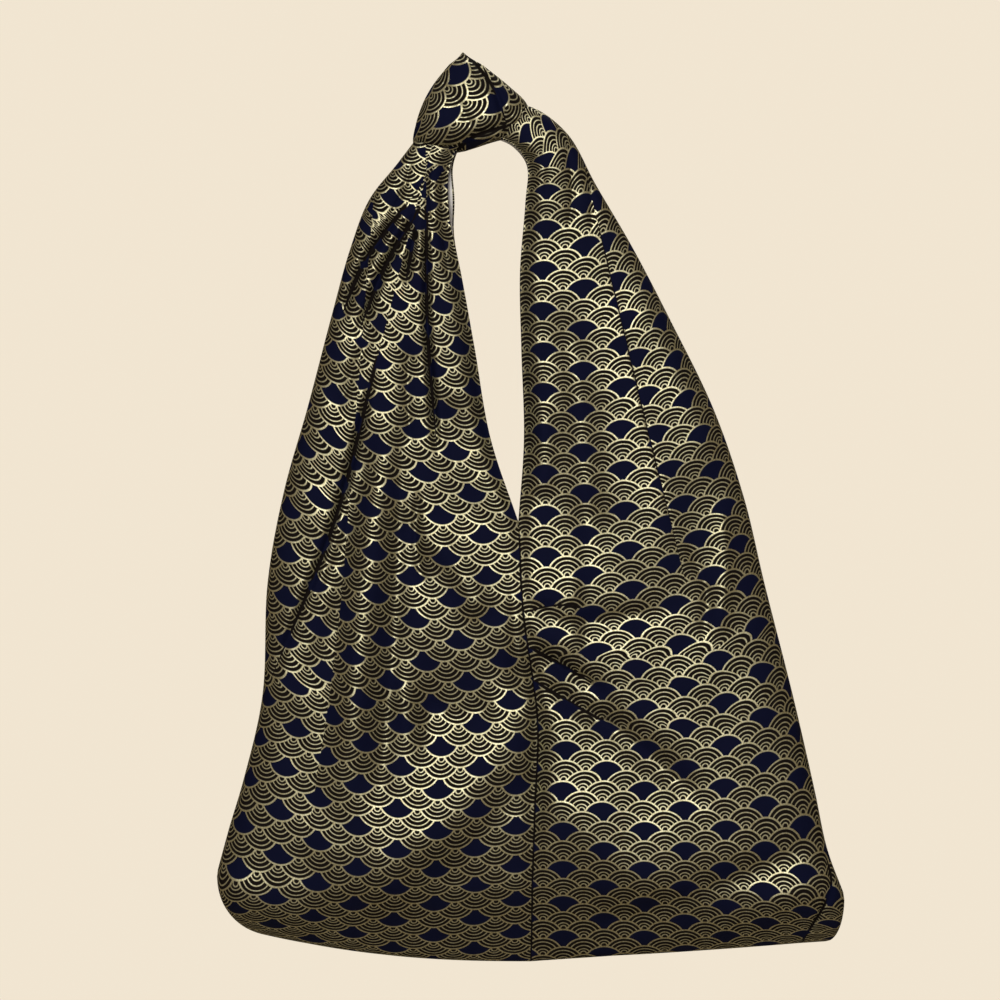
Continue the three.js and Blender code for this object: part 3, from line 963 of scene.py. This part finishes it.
def printed_cotton():
    """Navy cotton with gold foil scales."""
    finish = Finish("printed_cotton")
    uv = finish.cloth_map()
    u, v, shown = laid_print(finish, uv)
    gold, plain = wave_scales(u, v)
    # The foil is taken away where shade is painted, in pleat creases and along the seam.
    gold = gold * shown
    grain = finish.noise(uv, FOIL_GRAIN)
    wear = soft_step(grain, *WEAR_RANGE)
    navy = finish.mixed(finish.noise(uv, NAVY_CLOUD), NAVY, NAVY_WORN)
    ground = finish.mixed(plain, INK, navy)
    foil = finish.mixed(wear, GOLD_DULL, GOLD)
    turns = 2 * math.pi * WEAVE_THREADS
    weave = (u * turns).math("SINE") * (v * turns).math("SINE")
    height = weave * THREAD_HEIGHT + grain * GRAIN_HEIGHT + gold * FOIL_HEIGHT
    finish.surface({
        "Base Color": finish.mixed(gold, ground, foil),
        "Metallic": gold * FOIL_METAL,
        "Roughness": COTTON_ROUGHNESS - gold * FOIL_SMOOTHER - gold * wear * BRIGHT_FOIL_SMOOTHER,
        "Normal": finish.bumped(height, BUMP_STRENGTH, BUMP_HEIGHT),
        "Specular IOR Level": COTTON_SHINE,
    })
    return finish.material


COTTON = printed_cotton()
print("material", COTTON.name, "with", len(COTTON.node_tree.nodes), "nodes")

# %% [markdown]
# ## The plain reverse
# The inner side of the cloth is not printed. It is off-white cotton with a faint mottle, and dull.

# %% The plain reverse
REVERSE_SHADE = (0.80, 0.78, 0.76, 1)
REVERSE_PALE = (0.92, 0.90, 0.88, 1)
REVERSE_ROUGHNESS = 0.9
REVERSE_BUMP_STRENGTH = 0.2
REVERSE_BUMP_HEIGHT = 0.3 * MM
MOTTLE = 30.0


def pale_reverse():
    """The plain off-white back of the printed cloth."""
    finish = Finish("pale_reverse")
    mottle = finish.noise(finish.cloth_map(), MOTTLE)
    finish.surface({
        "Base Color": finish.mixed(mottle, REVERSE_SHADE, REVERSE_PALE),
        "Roughness": REVERSE_ROUGHNESS,
        "Normal": finish.bumped(mottle, REVERSE_BUMP_STRENGTH, REVERSE_BUMP_HEIGHT),
    })
    return finish.material


REVERSE = pale_reverse()
print("material", REVERSE.name)

# %% [markdown]
# ## The knot
# The two strap ends wrap round each other into one tight bundle. Two tied bands could be modelled,
# but only the outside of the bundle shows. So it is a closed form through sections from its foot
# to its tip, with creases and pleats where one turn laps over the next. The operator makes a ball,
# and its points are moved to the sections. The cloth runs at a slant there, and so does the print.

# %% The knot's points
KnotRow = namedtuple("KnotRow", "left right half_depth")
KNOT = [
    KnotRow((-54, -15), (2, 0), 10),
    KnotRow((-65, -2), (14, 6), 25),
    KnotRow((-63, 13), (22, 18), 29),
    KnotRow((-58, 28), (20, 28), 26),
    KnotRow((-51, 41), (7, 41), 20),
    KnotRow((-41, 54), (-9, 54), 13),
    KnotRow((-30, 67), (-26, 67), 4),
]
KNOT_FOLDS = [
    Fold((-27, 68), (-6, 41), (7, 6), 4, 2.6, 2.0, 12),
    Fold((4, 10), (-20, 2), (-46, -18), 4, 3.0, 2.0, 6),
    Fold((-47, 48), (-33, 30), (-19, 4), 3, 5, 1.2, 0),
    Fold((22, 24), (7, 18), (14, 0), 5, 4, 1.2, 0),
    Fold((-66, 8), (-56, -6), (-36, -14), 5, 4, 1.2, 0),
]
KNOT_CLOSE = 0.12
KNOT_FULLNESS = 0.6
KNOT_SEED = 5


def knot_places(ball):
    """A ball's points as places on the knot, in millimetres, how far round they lie, and half the girth."""
    up = np.arccos(np.clip(-ball[:, 2], -1, 1)) / math.pi
    turn = np.arctan2(ball[:, 1], ball[:, 0])
    last = len(KNOT) - 1
    left = smooth_through([(row.left[0], row.half_depth, row.left[1]) for row in KNOT], up * last)
    right = smooth_through([(row.right[0], row.half_depth, row.right[1]) for row in KNOT], up * last)
    closing = np.sqrt(np.clip(np.minimum(up, 1 - up) / KNOT_CLOSE, 0, 1))
    place = (1 + np.cos(turn) * closing) / 2
    x = left[:, 0] + (right[:, 0] - left[:, 0]) * place
    z = left[:, 2] + (right[:, 2] - left[:, 2]) * place
    half_depth = left[:, 1]
    drawn = sum(fold_depth(fold, x, z) for fold in KNOT_FOLDS) + unevenness(x, z, KNOT_SEED)
    drawn = np.minimum(drawn, half_depth / 2)
    bulge = np.sign(np.sin(turn)) * np.abs(np.sin(turn)) ** KNOT_FULLNESS
    y = bulge * closing * (half_depth - drawn)
    half_girth = math.pi * np.sqrt((((right[:, 0] - left[:, 0]) / 2) ** 2 + half_depth ** 2) / 2)
    around = np.mod(turn + math.pi / 2 + math.pi, 2 * math.pi) - math.pi
    return np.stack([x, y, z], axis=1), around, half_girth


print("the knot has", len(KNOT), "sections and", len(KNOT_FOLDS), "creases")

# %% The knot's form
KNOT_AROUND = 160
KNOT_UP = 90
KNOT_TURN = math.radians(45)


def knot_print(width, height):
    """Print coordinates of a place on the knot, where the cloth runs at a slant."""
    u = width * math.cos(KNOT_TURN) + height * math.sin(KNOT_TURN)
    v = height * math.cos(KNOT_TURN) - width * math.sin(KNOT_TURN)
    return -u / SCALE, -v / SCALE


def knot_form():
    """The knot as a bmesh with a UV map named cloth and its pleats."""
    form = bmesh.new()
    bmesh.ops.create_uvsphere(form, u_segments=KNOT_AROUND, v_segments=KNOT_UP, radius=1)
    points, around, half_girth = knot_places(np.array([vertex.co for vertex in form.verts]))
    for vertex, point in zip(form.verts, points):
        vertex.co = point * MM
    x, z = points[:, 0], points[:, 2]
    pleats = [swallowed_print(RIGHT, fold, x, z) for fold in KNOT_FOLDS if fold.tuck]
    keep_pleats(form, [pleat * (1, 1 / SCALE, 1 / SCALE) for pleat in pleats])
    cloth = form.loops.layers.uv.new("cloth")
    form.verts.index_update()
    for face in form.faces:
        face.smooth = True
        turns = np.array([around[loop.vert.index] for loop in face.loops])
        turns = np.where(turns - turns.max() < -math.pi, turns + 2 * math.pi, turns)
        for loop, angle in zip(face.loops, turns):
            index = loop.vert.index
            loop[cloth].uv = knot_print(angle / math.pi * half_girth[index], z[index])
    bmesh.ops.recalc_face_normals(form, faces=form.faces)
    return form


knot_mesh = knot_form()
print("faces of the knot:", len(knot_mesh.faces))

# %% [markdown]
# ## Putting the pieces together
# The strap ends run on into the knot, as they do in the bag. What lies deep inside it can't be
# seen and would only cross the other strap, so those faces are cut away. Each mesh then becomes an
# object at the origin, because its place is in its points.

# %% Trim the straps inside the knot
HIDDEN_DEPTH = 4 * MM
KNOT_REACH = 60 * MM
knot_tree = BVHTree.FromBMesh(knot_mesh)


def trimmed_inside_knot(sheet):
    """Removes the strap's faces that lie deep inside the knot."""
    deep = set()
    for vertex in sheet.verts:
        place, normal, _, _ = knot_tree.find_nearest(vertex.co, KNOT_REACH)
        if place is not None and (vertex.co - place).dot(normal) < -HIDDEN_DEPTH:
            deep.add(vertex)
    gone = [face for face in sheet.faces if all(vertex in deep for vertex in face.verts)]
    bmesh.ops.delete(sheet, geom=gone, context="FACES")
    return len(gone)


trimmed = [trimmed_inside_knot(sheet) for sheet in (left_sheet, right_sheet)]
print("faces cut away:", trimmed)


# %% The three pieces
def finished_piece(name, form, materials):
    """A bmesh as an object at the origin, with its materials."""
    mesh = bpy.data.meshes.new(name)
    form.to_mesh(mesh)
    form.free()
    for material in materials:
        mesh.materials.append(material)
    piece = bpy.data.objects.new(name, mesh)
    scene.collection.objects.link(piece)
    return piece


left_panel = finished_piece("left_cloth", left_sheet, [COTTON, REVERSE])
right_panel = finished_piece("right_cloth", right_sheet, [COTTON, REVERSE])
knot = finished_piece("tied_knot", knot_mesh, [COTTON])
print("faces:", [len(piece.data.polygons) for piece in (left_panel, right_panel, knot)])

# %% [markdown]
# ## Thickness
# Cotton with a turned hem is more than a millimetre thick, and the edges of the mouth show it. A
# Solidify modifier adds the inner side, so that the sheet stays simple, and gives it the plain
# reverse. The rim between both sides keeps the print's cloth.

# %% Give the cloth its thickness
CLOTH_THICKNESS = 1.6

for piece in (left_panel, right_panel):
    wall = piece.modifiers.new("cloth_thickness", "SOLIDIFY")
    wall.thickness = CLOTH_THICKNESS * MM
    wall.offset = -1
    wall.material_offset = 1
    wall.material_offset_rim = 0
print("cloth", CLOTH_THICKNESS, "mm thick")

# %% [markdown]
# ## Each piece in place of its solid
# The two panels are hung sheets of cloth, and the knot is a tight bundle. Each takes the place of its
# imported solid, which is hidden. The size each sheet was cut to is printed. The print coordinates
# already count cloth, so the cut is read from them.

# %% The size of a cut
def flat_cut(piece):
    """Width, length and area of a panel's cut, in metres, read from its print coordinates."""
    layer = piece.data.uv_layers["cloth"].data
    uv = np.zeros(len(layer) * 2)
    layer.foreach_get("uv", uv)
    uv = uv.reshape(-1, 2) * SCALE * MM
    width, length = np.ptp(uv, axis=0)
    area = 0.0
    for face in piece.data.polygons:
        ring = uv[list(face.loop_indices)]
        area += abs(np.cross(ring, np.roll(ring, -1, axis=0)).sum()) / 2
    return width, length, area


print("the left panel's cut:", [round(float(size), 3) for size in flat_cut(left_panel)])

# %% Put each piece in place of its solid
for piece, node in ((left_panel, "left_panel"), (right_panel, "right_panel")):
    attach(piece, "root")
    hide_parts(node)
    width, length, area = flat_cut(piece)
    print(node, "cut to", round(width, 3), "x", round(length, 3), "m, area", round(area, 3))
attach(knot, "root")
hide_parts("knot")
